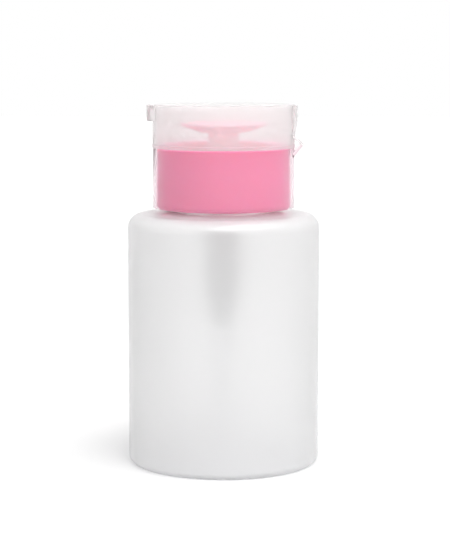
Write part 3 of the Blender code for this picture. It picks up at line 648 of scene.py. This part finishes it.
@dataclass
class BottleShell:
    """Blow-moulded body: pushed-up base, round shoulder and threaded neck."""

    wall: float = 0.0011
    shoulder_radius: float = 0.0044
    deck_rise: float = 0.0005
    base_corner: float = 0.0024
    ring_width: float = 0.0034
    push_up: float = 0.0026
    neck_height: float = 0.0107
    neck_radius: float = 0.01532
    neck_wall: float = 0.0016
    neck_fillet: float = 0.0008
    rim_rounding: float = 0.0003
    thread_low: float = 0.0030
    thread_turns: float = 1.25
    segments: int = 192

    def outline(self) -> list[Point]:
        """Outline of the shell, from the outside of the base's middle to its inside.

        Returns:
            Points of radius and height.
        """
        place = Span.of("bottle")
        neck_root = place.high - self.neck_height
        shoulder = (place.radius - self.shoulder_radius,
                    neck_root - self.deck_rise - self.shoulder_radius)
        corner = (place.radius - self.base_corner, self.base_corner)
        ring_inner = corner[0] - self.ring_width
        dome_radius = (ring_inner ** 2 + self.push_up ** 2) / (2.0 * self.push_up)
        dome_end = 90.0 - math.degrees(math.asin(ring_inner / dome_radius))
        dome = (0.0, self.push_up - dome_radius)
        bore = self.neck_radius - self.neck_wall
        return [
            (0.0, self.push_up),
            *arc(dome, dome_radius, 90.0, dome_end, 12)[1:],
            *arc(corner, self.base_corner, -90.0, 0.0, 10),
            *arc(shoulder, self.shoulder_radius, 0.0, 90.0, 16),
            *rounded((self.neck_radius, neck_root), self.neck_fillet, -90.0, -180.0, 5),
            *lip(self.neck_radius, bore, place.high, self.rim_rounding),
            (bore, neck_root - self.wall),
            *arc(shoulder, self.shoulder_radius - self.wall, 90.0, 0.0, 12),
            *arc(corner, self.base_corner - self.wall, 0.0, -90.0, 6),
            *arc(dome, dome_radius + self.wall, dome_end, 90.0, 12)[:-1],
            (0.0, self.push_up + self.wall),
        ]

    def build(self, dresser: Dresser) -> None:
        """Model the shell with its neck thread and dress it.

        Args:
            dresser: Gives each piece its finish.
        """
        shell = swept("bottle_shell", self.outline(), self.segments)
        low = Span.of("bottle").high - self.neck_height + self.thread_low
        thread = Thread("neck_thread", self.neck_radius, 1.0, low, 0.0, self.thread_turns)
        combine(shell, Change.JOIN, thread.ridge())
        dresser.dress(shell, "frosted_shell", "bottle", "bottle")


@dataclass
class Strap:
    """Moulded strap of the lid: two leaves with a thin living hinge between them.

    The fold line is the lid joint's axis, as X and Z, and the walls are the outer radii of what carries
    the leaves. The blend shares, for how far the bend reaches below and above the fold, are not used.
    """

    fold: Vector
    lid_wall: float
    sleeve_wall: float
    half_width: float = 0.0050
    half_thickness: float = 0.00045
    upper_rise: float = 0.00235
    lower_drop: float = 0.0036
    wall_depth: float = 0.00055
    root_depth: float = 0.0008
    film_inner: float = 0.00005
    film_outer: float = 0.00031
    film_reach: float = 0.0003
    outer_knee: float = 0.0005
    inner_knee: float = 0.00075
    blend_below: float = 0.3
    blend_above: float = 0.4

    def directions(self, upper: bool) -> tuple[Vector, Vector]:
        """Unit directions of a leaf.

        Args:
            upper: Whether it is the lid's leaf.

        Returns:
            The direction from the fold to the wall, and the one out of the leaf's outer face.
        """
        wall = self.lid_wall if upper else self.sleeve_wall
        rise = self.upper_rise if upper else -self.lower_drop
        along = (Vector((wall - self.wall_depth, self.fold.y + rise)) - self.fold).normalized()
        outward = Vector((along.y, -along.x)) if upper else Vector((-along.y, along.x))
        return along, outward

    def leaf(self, upper: bool) -> Piece:
        """Model one leaf, from the thin fold into the wall that carries it.

        Args:
            upper: Whether it is the lid's leaf.

        Returns:
            The leaf.
        """
        fold = self.fold
        along, outward = self.directions(upper)
        root_x = (self.lid_wall if upper else self.sleeve_wall) - self.root_depth
        section = [
            fold + along * self.film_reach + outward * self.film_inner,
            fold + along * self.film_reach + outward * self.film_outer,
            fold + along * self.outer_knee + outward * self.half_thickness,
        ]
        for side in (1.0, -1.0):
            edge = fold + outward * side * self.half_thickness
            section.append(edge + along * ((root_x - edge.x) / along.x))
        section.append(fold + along * self.inner_knee - outward * self.half_thickness)
        name = "upper_leaf" if upper else "lower_leaf"
        return strip(name, [tuple(point) for point in section], self.half_width)

    def film(self) -> Piece:
        """Model the living hinge as a thin strip bent round the fold line.

        Returns:
            The strip.
        """
        up_along, up_out = self.directions(True)
        low_along, low_out = self.directions(False)
        start = math.degrees(math.atan2(low_out.y, low_out.x))
        end = math.degrees(math.atan2(up_out.y, up_out.x))
        section = []
        for radius, order in ((self.film_outer, 1), (self.film_inner, -1)):
            bend = arc(tuple(self.fold), radius, start, end, 10)
            first = self.fold + low_along * self.film_reach + low_out * radius
            last = self.fold + up_along * self.film_reach + up_out * radius
            section += [tuple(first), *bend, tuple(last)][::order]
        return strip("living_hinge", section, self.half_width)

    def build(self, dresser: Dresser) -> None:
        """Model the living hinge between the cap and the lid, and give it the lid's finish.

        Args:
            dresser: Gives each piece its finish.
        """
        film, fold = self.film(), self.fold
        film.data.materials.append(dresser.materials["lid_plastic"])
        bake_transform(film)
        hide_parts("hinge_film")
        LOG.info("living_hinge bends between cap and lid, %.2f mm thick",
                 (self.film_outer - self.film_inner) / MM)


@dataclass
class ScrewCap:
    """Pink collar with its well and threaded skirt, in a clear sleeve that carries the strap.

    The sleeve's foot is raised above its CAD node's, so that the collar's lip shows below it.
    """

    sleeve_draft: float = 0.00009
    sleeve_wall: float = 0.0010
    sleeve_rounding: float = 0.0002
    foot_rise: float = 0.0010
    key_depth: float = 0.0007
    key_width: float = 0.0030
    key_height: float = 0.0029
    key_drop: float = 0.0008
    key_rounding: float = 0.0001
    key_clearance: float = 0.0003
    fit: float = 0.00025
    wall: float = 0.0015
    low_radius: float = 0.0018
    edge_rounding: float = 0.0004
    deck: float = 0.0012
    deck_width: float = 0.00542
    skirt_space: float = 0.0014
    skirt_wall: float = 0.0012
    skirt_lift: float = 0.0015
    well_depth: float = 0.0048
    well_wall: float = 0.0012
    well_floor: float = 0.0014
    bush_hole: float = 0.00695
    neck_root: float = 0.0793
    thread_turns: float = 0.85

    @property
    def sleeve_top(self) -> float:
        """Outer radius of the sleeve at its top."""
        return Span.of("collar_sleeve").radius - self.sleeve_draft

    def collar_outline(self) -> list[Point]:
        """Outline of the collar, from the foot of its outer wall.

        Returns:
            Points of radius and height.
        """
        place = Span.of("screw_collar")
        inner = place.radius - self.wall
        skirt_out = inner - self.skirt_space
        skirt_in = skirt_out - self.skirt_wall
        well = place.radius - self.deck_width
        well_out = well + self.well_wall
        floor = place.high - self.well_depth
        skirt_low = self.neck_root + self.skirt_lift
        return [
            *rounded((place.radius, place.low), self.low_radius, -90.0, 0.0, 10),
            *lip(place.radius, well, place.high, self.edge_rounding, 5),
            *rounded((well, floor), self.edge_rounding, 0.0, -90.0, 5),
            (self.bush_hole, floor),
            (self.bush_hole, floor - self.well_floor),
            (skirt_in, floor - self.well_floor),
            (skirt_in, skirt_low),
            (skirt_out, skirt_low),
            (skirt_out, floor),
            (well_out, floor + skirt_out - well_out),
            (well_out, place.high - self.deck),
            (inner, place.high - self.deck),
            (inner, place.low + self.low_radius),
            (place.radius - self.low_radius, place.low + self.wall),
        ]

    def collar(self) -> Piece:
        """Model the collar, with its inner thread and the notch for the sleeve's key.

        Returns:
            The collar.
        """
        place = Span.of("screw_collar")
        collar = swept("pink_collar", self.collar_outline())
        skirt_in = place.radius - self.wall - self.skirt_space - self.skirt_wall
        low = self.neck_root + BottleShell.thread_low - Thread.pitch / 2.0
        first = BottleShell.thread_turns - self.thread_turns
        thread = Thread("collar_thread", skirt_in, -1.0, low, first, self.thread_turns)
        combine(collar, Change.JOIN, thread.ridge())
        key_low = Span.of("collar_sleeve").high - self.key_drop - self.key_height
        half = self.key_width / 2.0 + self.key_clearance
        floor = place.radius + self.fit - self.key_depth - self.key_clearance
        notch = block("key_notch", (floor, -half, key_low - self.key_clearance),
                      (place.radius + MM, half, place.high + MM))
        combine(collar, Change.CUT, notch)
        return collar

    def sleeve(self, strap: Strap) -> Piece:
        """Model the clear sleeve, with its key inside and the strap's lower leaf outside.

        Args:
            strap: Strap of the lid.

        Returns:
            The sleeve.
        """
        place = Span.of("collar_sleeve")
        top = self.sleeve_top
        inner = top - self.sleeve_wall
        foot = place.low + self.foot_rise
        sleeve = swept("clear_sleeve", [
            *rounded((place.radius, foot), self.sleeve_rounding, -90.0, 0.0),
            *lip(top, inner, place.high, self.sleeve_rounding),
            (inner + self.sleeve_draft, foot),
        ])
        key_high = place.high - self.key_drop
        half = self.key_width / 2.0
        key = block("sleeve_key", (inner - self.key_depth, -half, key_high - self.key_height),
                    (inner + self.sleeve_wall / 2.0, half, key_high))
        bevel(key, self.key_rounding)
        combine(sleeve, Change.JOIN, key, strap.leaf(upper=False))
        return sleeve

    def build(self, dresser: Dresser, strap: Strap) -> None:
        """Model and dress the collar and the sleeve, which carries the strap's lower leaf.

        Args:
            dresser: Gives each piece its finish.
            strap: Strap of the lid.
        """
        dresser.dress(self.collar(), "pink_plastic", "cap", "screw_collar")
        dresser.dress(self.sleeve(strap), "clear_sleeve", "cap", "collar_sleeve")


@dataclass
class FlipLid:
    """Milky lid with a thumb tab in front of its wall, and a pad and leaf of the strap behind."""

    wall: float = 0.0011
    top: float = 0.0012
    edge_rounding: float = 0.0004
    inner_rounding: float = 0.0008
    bead: float = 0.00012
    bead_height: float = 0.0012
    tab_reach: float = 0.0018
    tab_half_width: float = 0.0080
    tab_height: float = 0.0049
    tab_step: float = 0.00015
    tab_rounding: float = 0.00025
    pad_reach: float = 0.00095
    pad_ledge: float = 0.0002
    pad_height: float = 0.0052
    pad_taper: float = 0.0044
    pad_half_width: float = 0.0070
    part_segments: int = 128

    @property
    def radius(self) -> float:
        """Outer radius of the wall, inside its bead."""
        return Span.of("flip_lid").radius - self.bead

    def shell(self) -> Piece:
        """Model the round cap of the lid.

        Returns:
            The cap, without tab, pad and leaf.
        """
        place = Span.of("flip_lid")
        radius, inner = self.radius, self.radius - self.wall
        bead_top = place.low + self.bead_height
        ceiling = place.high - self.top
        return swept("milky_lid", [
            (0.0, place.high),
            *rounded((radius, place.high), self.edge_rounding, 90.0, 0.0, 6),
            (radius, bead_top),
            *arc((radius, bead_top - 2.0 * self.bead), self.bead, 60.0, 0.0, 3),
            *arc((radius, place.low + self.bead), self.bead, 0.0, -90.0, 3),
            (inner, place.low),
            *rounded((inner, ceiling), self.inner_rounding, 0.0, 90.0, 6),
            (0.0, ceiling),
        ])

    def tab(self) -> Piece:
        """Model the thumb tab as the crescent that a small disc leaves outside the wall.

        Returns:
            The tab.
        """
        root = self.radius - self.wall / 2.0
        chord = math.sqrt(root ** 2 - self.tab_half_width ** 2)
        rise = self.radius + self.tab_reach - chord
        radius = (rise ** 2 + self.tab_half_width ** 2) / (2.0 * rise)
        center = chord + rise - radius
        high = Span.of("flip_lid").high - self.tab_step
        low = high - self.tab_height
        tab = peg("thumb_tab", radius, (-center, 0.0, low), (-center, 0.0, high), self.part_segments)
        core = peg("tab_core", root, (0.0, 0.0, low - MM), (0.0, 0.0, high + MM), self.part_segments)
        combine(tab, Change.CUT, core)
        bevel(tab, self.tab_rounding)
        return tab

    def pad(self) -> Piece:
        """Model the pad, a thicker stretch of the wall above the strap.

        Returns:
            The pad.
        """
        root = self.radius - self.wall / 2.0
        high = Span.of("flip_lid").high - self.tab_step
        low = high - self.pad_height - self.pad_taper
        reach, ledge = self.radius + self.pad_reach, self.radius + self.pad_ledge
        section = [(root, low), (ledge, low), (reach, high - self.pad_height), (reach, high),
                   (root, high)]
        share = math.asin(self.pad_half_width / self.radius) / math.pi
        pad = swept("hinge_pad", section, self.part_segments, share, -share / 2.0)
        bevel(pad, self.tab_rounding)
        return pad

    def build(self, dresser: Dresser, strap: Strap) -> None:
        """Model the lid with its tab, pad and the strap's upper leaf, and dress it.

        Args:
            dresser: Gives each piece its finish.
            strap: Strap of the lid.
        """
        lid = self.shell()
        combine(lid, Change.JOIN, self.tab(), self.pad(), strap.leaf(upper=True))
        dresser.dress(lid, "lid_plastic", "lid", "flip_lid")


@dataclass
class Plunger:
    """Pink dish on its hub, with the stem and piston that it presses down."""

    depth: float = 0.0033
    standoff: float = 0.0105
    lip_width: float = 0.0009
    lip_rounding: float = 0.00022
    thickness: float = 0.0010
    hub_radius: float = 0.0049
    hub_chamfer: float = 0.0004
    hub_ceiling: float = 0.0006
    stem_hole: float = 0.0029
    outlet_radius: float = 0.0006
    outlet_circle: float = 0.0018
    outlet_overrun: float = 0.0020
    outlets: int = 4
    segments: int = 128

    def outline(self) -> list[Point]:
        """Outline of the dish, from the hub's inner ceiling to the middle of its floor.

        Returns:
            Points of radius and height.
        """
        place = Span.of("pump_dish")
        under = place.low + self.standoff
        sphere = (place.radius ** 2 + self.depth ** 2) / (2.0 * self.depth)
        center = (0.0, under + sphere)
        inner = sphere - self.thickness
        wall = place.radius - self.lip_width
        from_hub, to_rim, inner_rim = (
            -90.0 + math.degrees(math.asin(radius / ball))
            for radius, ball in ((self.hub_radius, sphere), (place.radius, sphere), (wall, inner)))
        ceiling = under - self.hub_ceiling
        return [
            (0.0, ceiling),
            (self.stem_hole, ceiling),
            (self.stem_hole, place.low),
            (self.hub_radius - self.hub_chamfer, place.low),
            (self.hub_radius, place.low + self.hub_chamfer),
            *arc(center, sphere, from_hub, to_rim, 14),
            *lip(place.radius, wall, place.high, self.lip_rounding),
            *arc(center, inner, inner_rim, -90.0, 18)[:-1],
            (0.0, under + self.thickness),
        ]

    def build(self, dresser: Dresser) -> None:
        """Model the dish with its outlets and dress it with the stem, the piston and the outlet ball.

        Args:
            dresser: Gives each piece its finish.
        """
        dish = swept("pink_dish", self.outline(), self.segments)
        place = Span.of("pump_dish")
        low = place.low + self.standoff - self.outlet_overrun
        for number in range(self.outlets):
            angle = math.tau * (number + 0.5) / self.outlets
            x, y = self.outlet_circle * math.cos(angle), self.outlet_circle * math.sin(angle)
            hole = peg(f"outlet_{number}", self.outlet_radius, (x, y, low), (x, y, place.high))
            combine(dish, Change.CUT, hole)
        # The dish gets the paler copy of the pink plastic: painted backlight.
        dresser.dress(dish, "pink_plastic", "plunger", "pump_dish", BACKLIT_DISH_POLYPROPYLENE)
        dresser.keep("stem", "natural_plastic")
        dresser.keep("piston", "seal")
        dresser.keep("outlet_ball", "ball_steel")


@dataclass
class PumpBody:
    """Pump cylinder with its bush, dip tube and return spring."""

    cup_bore: float = 0.0069
    cup_radius: float = 0.0081
    cup_floor: float = 0.0851
    cup_wall: float = 0.0012
    flange: float = 0.0012
    barrel_bore: float = 0.0043
    barrel_radius: float = 0.0055
    ledge: float = 0.0583
    chamber: float = 0.0026
    seat: float = 0.05339
    seat_bore: float = 0.0013
    socket_top: float = 0.05219
    socket_bore: float = 0.0028
    socket_radius: float = 0.0038
    socket_lead: float = 0.0006
    taper: float = 0.0040
    cup_rounding: float = 0.0005
    vent_radius: float = 0.0005
    vent_drop: float = 0.0030
    bush_radius: float = 0.0066
    bush_guide: float = 0.00525
    bush_stem_hole: float = 0.0029
    bush_flange: float = 0.0012
    bush_floor: float = 0.0012
    bush_rounding: float = 0.0003
    tube_wall: float = 0.0007
    tube_slant: float = math.radians(30.0)
    wire: float = 0.0006
    wire_merge: float = 0.000006
    coil_turns: int = 9
    end_pitch: float = 0.0011
    press_travel: float = 0.0055
    segments: int = 96
    tube_segments: int = 48
    coil_segments: int = 36
    wire_sides: int = 12

    def housing(self) -> Piece:
        """Model the pump cylinder: cup and flange on top, barrel, inlet seat and tube socket.

        Returns:
            The cylinder.
        """
        place = Span.of("pump_housing")
        flange_low = place.high - self.flange
        cup_low = self.cup_floor - self.cup_wall
        housing = swept("pump_cylinder", [
            (self.cup_bore, place.high),
            (self.cup_bore, self.cup_floor),
            (self.barrel_bore, self.cup_floor),
            (self.barrel_bore, self.ledge),
            (self.chamber, self.ledge),
            (self.chamber, self.seat + self.chamber - self.seat_bore),
            (self.seat_bore, self.seat),
            (self.seat_bore, self.socket_top),
            (self.socket_bore, self.socket_top),
            (self.socket_bore, place.low + self.socket_lead),
            (self.socket_bore + self.socket_lead, place.low),
            (self.socket_radius, place.low),
            (self.socket_radius, self.socket_top - self.taper / 2.0),
            (self.barrel_radius, self.socket_top + self.taper / 2.0),
            (self.barrel_radius, cup_low),
            *rounded((self.cup_radius, cup_low), self.cup_rounding, -90.0, 0.0),
            (self.cup_radius, flange_low),
            (place.radius, flange_low),
            (place.radius, place.high),
        ], self.segments)
        height = flange_low - self.vent_drop
        for side in (-1.0, 1.0):
            vent = peg("vent", self.vent_radius, (0.0, side * (self.cup_bore - MM / 2.0), height),
                       (0.0, side * (self.cup_radius + MM), height))
            combine(housing, Change.CUT, vent)
        return housing

    def bush(self) -> Piece:
        """Model the guide bush, whose flange holds the collar on the cylinder.

        Returns:
            The bush.
        """
        place = Span.of("housing_retainer")
        under = place.high - self.bush_flange
        return swept("guide_bush", [
            (self.bush_stem_hole, place.low),
            (self.bush_radius, place.low),
            (self.bush_radius, under),
            (place.radius, under),
            *lip(place.radius, self.bush_guide, place.high, self.bush_rounding),
            (self.bush_guide, place.low + self.bush_floor),
            (self.bush_stem_hole, place.low + self.bush_floor),
        ], self.segments)

    def tube(self) -> Piece:
        """Model the dip tube, its lower end cut on a slant.

        Returns:
            The tube.
        """
        place = Span.of("dip_tube")
        inner = place.radius - self.tube_wall
        section = [(inner, place.low), (place.radius, place.low), (place.radius, place.high),
                   (inner, place.high)]
        tube = swept("extruded_tube", section, self.tube_segments)
        slope = math.tan(self.tube_slant)
        reach = 2.0 * place.radius
        cutter = strip("slant_cutter", [(-reach, place.low - reach), (reach, place.low - reach),
                                        (reach, place.low + slope * (reach + place.radius)),
                                        (-reach, place.low + slope * (place.radius - reach))], reach)
        combine(tube, Change.CUT, cutter)
        return tube

    def spring(self) -> Piece:
        """Wind the return spring, with a close turn at each end.

        Returns:
            The spring.
        """
        place = Span.of("return_spring")
        wire_radius = self.wire / 2.0
        climb = place.high - place.low - self.wire
        heights = (0.0, self.end_pitch, climb - self.end_pitch, climb)
        stretches = []
        for number, turns in enumerate((1, self.coil_turns - 2, 1)):
            center = (place.radius - wire_radius, place.low + wire_radius + heights[number])
            piece = drawn(arc(center, wire_radius, 0.0, 360.0, self.wire_sides)[:-1])
            turn_round(piece, self.coil_segments * turns, turns, heights[number + 1] - heights[number])
            stretches.append(piece)
        deselect()
        for piece in stretches:
            piece.select_set(True)
        spring = stretches[0]
        bpy.context.view_layer.objects.active = spring
        bpy.ops.object.join()
        weld(self.wire_merge)
        bpy.ops.mesh.fill_holes(sides=0)
        return settle(spring, "coil_spring")

    def build(self, dresser: Dresser) -> None:
        """Model the pump's pieces and dress them, the spring with a mesh of its own.

        Args:
            dresser: Gives each piece its finish.
        """
        # The cylinder gets the darker copy of the natural plastic: painted shade.
        dresser.dress(self.housing(), "natural_plastic", "pump", "pump_housing",
                      SHADED_CYLINDER_POLYPROPYLENE)
        dresser.dress(self.bush(), "natural_plastic", "pump", "housing_retainer")
        dresser.dress(self.tube(), "tube", "pump", "dip_tube")
        spring = self.spring()
        dresser.dress(spring, "spring_steel", "pump", "return_spring")
        place = Span.of("return_spring")
        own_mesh(spring)
        dresser.keep("valve_cage", "natural_plastic")
        dresser.keep("neck_gasket", "seal")
        dresser.keep("inlet_ball", "ball_steel")


@dataclass(frozen=True)
class Skylight:
    """Soft light from one side of the studio, as even over the floor as over the bottle."""

    name: str
    azimuth: float
    elevation: float
    spread: float
    strength: float

    def place(self) -> None:
        """Add the lamp, its azimuth counted from the camera's side towards +X."""
        turn, rise = math.radians(self.azimuth), math.radians(self.elevation)
        way = Vector((math.sin(turn) * math.cos(rise), -math.cos(turn) * math.cos(rise),
                      math.sin(rise)))
        lamp = added(bpy.ops.object.light_add, type="SUN", location=way,
                     rotation=way.to_track_quat("Z", "Y").to_euler())
        lamp.name = self.name
        lamp.data.angle = math.radians(self.spread)
        lamp.data.energy = self.strength


@dataclass
class Studio:
    """White floor and world, soft lamps and the camera of the photograph."""

    floor_size: float = 6.0
    floor_colour: str = "#e0e0e0"
    floor_seen_colour: str = "#dadada"
    floor_glow: float = 0.03
    world_colour: str = "#ffffff"
    ambient: Point = (0.69, 0.98)
    bright_side: Place = (0.8, 0.0, 0.6)
    bounce_limit: float = 0.5
    camera_place: Place = (0.00045, -0.560, 0.1292)
    camera_tilt: float = 82.83
    camera_lens: float = 116.6
    camera_sensor: float = 36.0
    lamps: tuple[Skylight, ...] = (
        Skylight("overhead_light", 7.0, 58.0, 34.0, 1.6),
        Skylight("side_light", 60.0, 68.0, 34.0, 0.9),
    )

    def seen_directly(self, tree: Tree) -> bpy.types.Node:
        """Share that is one where the studio is seen: straight, mirrored or through clear plastic.

        Args:
            tree: Node tree that gets the nodes.

        Returns:
            Node of the share.
        """
        path = add_node(tree, "LightPath")
        direct = add_node(tree, "Math", {"operation": "LESS_THAN", 1: self.bounce_limit},
                          {0: path.outputs["Diffuse Depth"]})
        clear = add_node(tree, "Math", {"operation": "MAXIMUM"},
                         {0: path.outputs["Is Transmission Ray"], 1: path.outputs["Is Glossy Ray"]})
        through = add_node(tree, "Math", {"operation": "MULTIPLY"}, {0: clear, 1: direct})
        return add_node(tree, "Math", {"operation": "MAXIMUM"},
                        {0: through, 1: path.outputs["Is Camera Ray"]})

    def build_floor(self) -> None:
        """Add the white floor, which shows the bottle's shadow."""
        floor = added(bpy.ops.mesh.primitive_plane_add, size=self.floor_size)
        floor.name = "studio_floor"
        material = bpy.data.materials.new("matte_white_paper")
        tree = blank_tree(material)
        plain = add_node(tree, "BsdfDiffuse", {"Color": linear(self.floor_colour)})
        lit = add_node(tree, "BsdfDiffuse", {"Color": linear(self.floor_seen_colour)})
        glow = add_node(tree, "Emission", {"Strength": self.floor_glow})
        seen = add_node(tree, "AddShader", {}, {0: lit, 1: glow})
        mixed = add_node(tree, "MixShader", {}, {0: self.seen_directly(tree), 1: plain, 2: seen})
        add_node(tree, "OutputMaterial", {}, {"Surface": mixed})
        floor.data.materials.append(material)

    def build_world(self) -> None:
        """Light the scene evenly, with a world that looks white."""
        world = bpy.data.worlds.new("white_studio")
        bpy.context.scene.world = world
        tree = blank_tree(world)
        place = add_node(tree, "TexCoord")
        lean = add_node(tree, "VectorMath",
                        {"operation": "DOT_PRODUCT", 1: Vector(self.bright_side).normalized()},
                        {0: place.outputs["Generated"]})
        level = add_node(tree, "MapRange",
                         {"From Min": -1.0, "From Max": 1.0, "To Min": self.ambient[0],
                          "To Max": self.ambient[1]},
                         {"Value": lean.outputs["Value"]})
        colour = linear(self.world_colour)
        dim = add_node(tree, "Background", {"Color": colour}, {"Strength": level})
        white = add_node(tree, "Background", {"Color": colour, "Strength": 1.0})
        mixed = add_node(tree, "MixShader", {}, {0: self.seen_directly(tree), 1: dim, 2: white})
        add_node(tree, "OutputWorld", {}, {"Surface": mixed})

    def build_camera(self) -> None:
        """Add the camera at the photograph's place."""
        camera = added(bpy.ops.object.camera_add, location=self.camera_place,
                       rotation=(math.radians(self.camera_tilt), 0.0, 0.0))
        camera.data.lens = self.camera_lens
        camera.data.sensor_width = self.camera_sensor
        bpy.context.scene.camera = camera

    def build(self) -> None:
        """Set up the whole studio."""
        scene = bpy.context.scene
        scene.view_settings.view_transform = "Standard"
        self.build_floor()
        self.build_world()
        for lamp in self.lamps:
            lamp.place()
        self.build_camera()


def sides(box: tuple[Vector, Vector]) -> list[list[float]]:
    """Turn a box into plain lists of numbers."""
    return [list(corner) for corner in box]


def main() -> None:
    """Load the frame, and build each sub-assembly and the studio."""
    logging.basicConfig(level=logging.INFO, format="%(name)s: %(message)s")
    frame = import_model()
    materials = {slot: finish.material() for slot, finish in SLOT_FINISHES.items()}
    dresser = Dresser(materials, frame["nodes"])
    hinge = next(joint for joint in frame["joints"] if joint["name"] == "lid_flip")["pos_m"]
    cap, lid = ScrewCap(), FlipLid()
    strap = Strap(Vector((hinge[0], hinge[2])), lid.radius, cap.sleeve_top)
    BottleShell().build(dresser)
    cap.build(dresser, strap)
    strap.build(dresser)
    lid.build(dresser, strap)
    Plunger().build(dresser)
    PumpBody().build(dresser)
    Studio().build()


if __name__ == "__main__":
    main()
